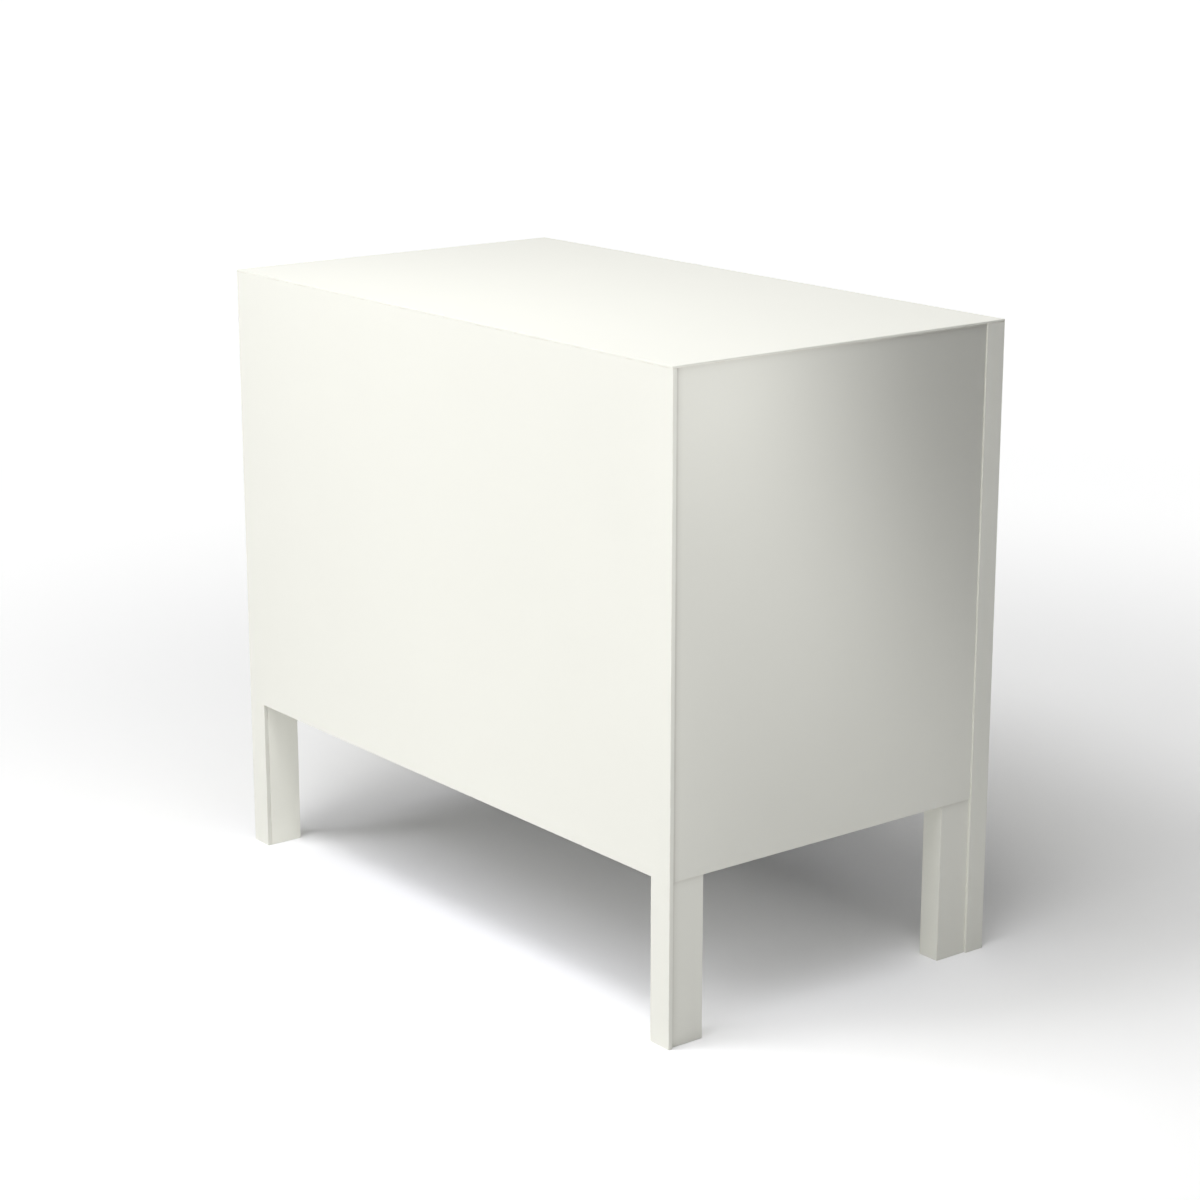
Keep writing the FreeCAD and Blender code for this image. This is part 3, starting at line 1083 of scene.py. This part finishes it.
@dataclass
class Drawer:
    """One drawer: painted front, plywood box, faced bottom sheet, knobs and their screws."""

    level: Level
    ease: float = 0.6 * MM
    sheet_ease: float = 0.2 * MM
    paint: SatinPaint = SatinPaint("satin_paint")
    sheet: FacedHardboard = FacedHardboard("faced_hardboard")
    spins: Pair = (0.4, 1.5)

    def build(self, knob_screw: Piece) -> list[Piece]:
        """Eases and dresses every board of the drawer.

        Args:
            knob_screw: The screw head that holds a knob, to copy.

        Returns:
            The boards of the box behind the front.
        """
        name = self.level.value
        front, back, bottom = (f"drawer_{board}_{name}" for board in ("front", "back", "bottom"))
        Bench.eased(front, self.paint, "case_paint", self.ease, 3)
        rear = BirchPlywood("birch_plywood_back", Grain.ALONG_WIDTH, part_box(back)[0].y)
        box = [Bench.eased(back, rear, "drawer_wood", self.ease)]
        for side in Side:
            node = f"drawer_side_{name}_{side.name.lower()}"
            inner = min(abs(corner.x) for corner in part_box(node))
            wall = BirchPlywood("birch_plywood_side", Grain.ALONG_DEPTH, round(inner, 6))
            box.append(Bench.eased(node, wall, "drawer_wood", self.ease))
        box.append(Bench.eased(bottom, self.sheet, "drawer_sheet", self.sheet_ease, 1, "faced"))
        low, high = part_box(f"knobs_{name}")
        radius = (high.z - low.z) / 2
        seats = [(x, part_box(front)[1].y, low.z + radius) for x in (low.x + radius, high.x - radius)]
        places = [seated(seat, (0, 1, 0), spin) for seat, spin in zip(seats, self.spins)]
        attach(Bench.copies(f"knob_screws_{name}", knob_screw, places), f"drawer_{name}")
        KnobPair(self.level).build()
        LOG.info("drawer %s", name)
        return box


# Studio


@dataclass(frozen=True)
class Softbox:
    """A round soft lamp close to the piece. A grid narrows its spread, in degrees."""

    name: str
    place: Triple
    power: float
    aim: Triple = (0.0, 0.0, 0.45)
    width: float = 0.45
    mirrored: bool = True
    spread: float = 180.0

    def hang(self) -> Piece:
        """Hangs the lamp, turned to its aim and out of the camera's sight.

        Returns:
            The lamp.
        """
        bpy.ops.object.light_add(type="AREA", location=self.place)
        lamp = bpy.context.object
        lamp.name = self.name
        lamp.data.shape = "DISK"
        lamp.data.size = self.width
        lamp.data.spread = math.radians(self.spread)
        lamp.data.energy = self.power
        lamp.visible_camera = False
        lamp.visible_glossy = self.mirrored
        lamp.rotation_euler = (Vector(self.aim) - Vector(self.place)).to_track_quat("-Z", "Y").to_euler()
        return lamp


def gridded(name: str, distance: float, y: float, z: float, spread: float, power: float) -> Softbox:
    """A small softbox behind a grid, hung at a distance from the left end and aimed straight at it."""
    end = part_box("side_panel_left")[0].x
    return Softbox(name, (end - distance, y, z), power, (end, y, z), 0.2, False, spread)


@dataclass(frozen=True)
class Skylight:
    """Broad light from far away, as from a large diffusing screen. Azimuth runs from +X towards +Y."""

    name: str
    azimuth: float
    elevation: float
    strength: float
    spread: float = 40.0

    def hang(self) -> Piece:
        """Hangs the light.

        Returns:
            The light.
        """
        bpy.ops.object.light_add(type="SUN")
        lamp = bpy.context.object
        lamp.name = self.name
        lamp.data.angle = math.radians(self.spread)
        lamp.data.energy = self.strength
        around, up = math.radians(self.azimuth), math.radians(self.elevation)
        towards = Vector((math.cos(up) * math.cos(around), math.cos(up) * math.sin(around), math.sin(up)))
        lamp.rotation_euler = (-towards).to_track_quat("-Z", "Y").to_euler()
        return lamp


@dataclass
class Studio:
    """The photograph's viewpoint, a plain pale floor, and soft light from above and behind.

    On the left end panel gridded lamps take the place of the left lamps. A leg's lamp lights that leg alone.
    """

    camera_place: Triple = (-2.45004, 1.92816, 1.18585)
    camera_aim: Triple = (0.760878, -0.594919, -0.259107)
    lens: float = 85.0
    clip: Pair = (0.05, 200.0)
    floor_size: float = 60.0
    floor_bounce: Colour = (0.8, 0.8, 0.8)
    floor_shown: Colour = (0.872, 0.872, 0.872)
    floor_shaded: Colour = (0.869, 0.872, 0.918)
    shade_middle: Pair = (0.0, 0.0)
    shade_reach: Pair = (0.2, 0.62)
    glow: float = 0.465
    glow_middle: Pair = (0.11, -0.24)
    glow_reach: Pair = (0.0, 2.08)
    glow_far: float = 0.06
    far_reach: Pair = (2.0, 3.4)
    lamps: tuple[Union[Softbox, Skylight], ...] = (
        Skylight("screen_rear", 90.0, 60.0, 1.24),
        Skylight("screen_left", 135.0, 70.0, 0.70),
        Skylight("screen_front", 270.0, 20.0, 0.18),
        Softbox("softbox_above", (0.0, 0.75, 1.8), 8.85),
        Softbox("softbox_right", (0.85, 1.3, 1.1), 3.1, mirrored=False),
        Softbox("softbox_low", (0.0, 1.3, 0.45), 2.35),
    )
    left_lamps: tuple[Softbox, ...] = (
        Softbox("softbox_left", (-0.75, 0.3, 0.75), 0.41),
        Softbox("softbox_left_low", (-0.9, 0.4, 0.5), 0.9),
    )
    end_lamps: tuple[Softbox, ...] = (
        gridded("end_low", 0.762, -0.123, 0.214, 40.4, 0.0398),
        gridded("end_high", 0.399, 0.183, 0.717, 76.3, 0.1262),
        gridded("end_middle", 0.421, 0.038, 0.460, 61.4, 0.0353),
        gridded("end_near", 0.963, 0.378, 0.369, 60.2, 0.3418),
    )
    front_leg_lamp: Softbox = gridded("front_leg", 0.6, -0.19, 0.06, 50.0, 0.0148)
    front_leg: tuple[str, ...] = ("front_post_left", "stile_left")
    far_leg_lamp: Softbox = Softbox("far_leg", (-0.9, 0.5, 0.3), 2.5, (0.37, 0.215, 0.08), mirrored=False)
    far_leg: tuple[str, ...] = ("rear_post_right",)
    front_fill: Skylight = Skylight("front_fill", 295.0, 1.0, 2.6, 16.0)
    box_fill: Skylight = Skylight("box_fill", 275.0, 55.0, 1.5, 30.0)

    def _camera(self) -> None:
        """Sets the camera at the photograph's viewpoint."""
        bpy.ops.object.camera_add(location=self.camera_place)
        camera = bpy.context.object
        camera.name = "viewpoint"
        camera.data.lens = self.lens
        camera.data.clip_start, camera.data.clip_end = self.clip
        camera.rotation_euler = Vector(self.camera_aim).to_track_quat("-Z", "Y").to_euler()
        bpy.context.scene.camera = camera

    @staticmethod
    def _reach(graph: Graph, middle: Pair) -> Signal:
        """Distance over the floor from a point on it."""
        across, along = (graph.axis(name) - place for name, place in zip("XY", middle))
        return (across * across + along * along) ** 0.5

    def _floor(self) -> Piece:
        """Lays the floor. It is shown white away from the piece, and that glow lights nothing.

        Under the piece its tone takes back the warm tinge of the light that the paint throws down.

        Returns:
            The floor.
        """
        bpy.ops.mesh.primitive_plane_add(size=self.floor_size)
        floor = bpy.context.object
        floor.name = "studio_floor"
        graph = Graph(bpy.data.materials.new("studio_floor"))
        tones = [{"Color": (*tone, 1.0)} for tone in (self.floor_bounce, self.floor_shaded, self.floor_shown)]
        bounced, shaded, plain = (graph.signal("BsdfDiffuse", None, tone) for tone in tones)
        shown = graph.blended(self._reach(graph, self.shade_middle).between(*self.shade_reach), shaded, plain)
        reach = self._reach(graph, self.glow_middle)
        glow = reach.between(*self.glow_reach) * self.glow + reach.between(*self.far_reach) * self.glow_far
        dark, bright = (graph.signal("Emission", None, {"Strength": power}) for power in (0.0, 1.0))
        lit = graph.signal("AddShader", None, {0: shown, 1: graph.blended(glow, dark, bright)})
        mixed = graph.blended(graph.seen_directly(), bounced, lit)
        graph.node("OutputMaterial", None, {"Surface": mixed})
        floor.data.materials.append(graph.owner)
        floor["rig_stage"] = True
        return floor

    def _world(self) -> None:
        """Shows white behind everything, with no light of its own on the piece."""
        graph = Graph(bpy.data.worlds.new("studio_air"))
        bpy.context.scene.world = graph.owner
        dark = graph.signal("Background", None, {"Strength": 0.0})
        white = graph.signal("Background", None, {"Color": (1.0, 1.0, 1.0, 1.0), "Strength": 1.0})
        mixed = graph.blended(graph.seen_directly(), dark, white)
        graph.node("OutputWorld", None, {"Surface": mixed})

    @staticmethod
    def _limit(light: Union[Softbox, Skylight], pieces: Sequence[Piece], state: str) -> None:
        """Hangs a lamp that lights some pieces alone, or all but them.

        Args:
            light: The lamp.
            pieces: The pieces.
            state: INCLUDE or EXCLUDE.
        """
        lamp = light.hang()
        chosen = bpy.data.collections.new(f"{lamp.name}_{state.lower()}")
        for piece in pieces:
            chosen.objects.link(piece)
        for entry in chosen.collection_objects:
            entry.light_linking.link_state = state
        lamp.light_linking.receiver_collection = chosen

    def build(self, boards: Mapping[str, Piece], boxes: Sequence[Piece]) -> None:
        """Sets up the whole studio. The front fill spares the floor, so that the shadow keeps its depth.

        Args:
            boards: The boards of the case by name.
            boxes: The boards of the drawer boxes, which get a fill of their own.
        """
        self._camera()
        floor = self._floor()
        self._world()
        for lamp in self.lamps:
            lamp.hang()
        end = [boards["side_panel_left"]]
        for lamp in self.left_lamps:
            self._limit(lamp, end, "EXCLUDE")
        for lamp in self.end_lamps:
            self._limit(lamp, end, "INCLUDE")
        self._limit(self.front_leg_lamp, [boards[name] for name in self.front_leg], "INCLUDE")
        self._limit(self.far_leg_lamp, [boards[name] for name in self.far_leg], "INCLUDE")
        self._limit(self.front_fill, [floor], "EXCLUDE")
        self._limit(self.box_fill, boxes, "INCLUDE")
        bpy.context.scene.view_settings.view_transform = "Standard"
        LOG.info("studio with %d lamps", len(bpy.data.lights))


def corners() -> list[list[float]]:
    """The shown object's box as plain lists."""
    return [list(corner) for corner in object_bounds()]


def main() -> None:
    logging.basicConfig(level=logging.INFO, format="%(name)s: %(message)s")
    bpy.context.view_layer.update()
    runner_screw = ScrewHead("runner_screw", diameter=5.8 * MM, height=0.55 * MM).build()
    knob_screw = ScrewHead("knob_screw", diameter=8.0 * MM, height=2.2 * MM).build()
    boards = Case().build()
    boxes: list[Piece] = []
    for level in Level:
        boxes += Drawer(level).build(knob_screw)
        for side in Side:
            Runner(level, side).build(runner_screw)
        for end in ("front", "rear"):
            RollerPair(f"{end}_rollers_{level.value}", f"{end}_roller_pair_{level.value}").build()
    for model in (runner_screw, knob_screw):
        bpy.data.objects.remove(model)
    Studio().build(boards, boxes)


if __name__ == "__main__":
    main()
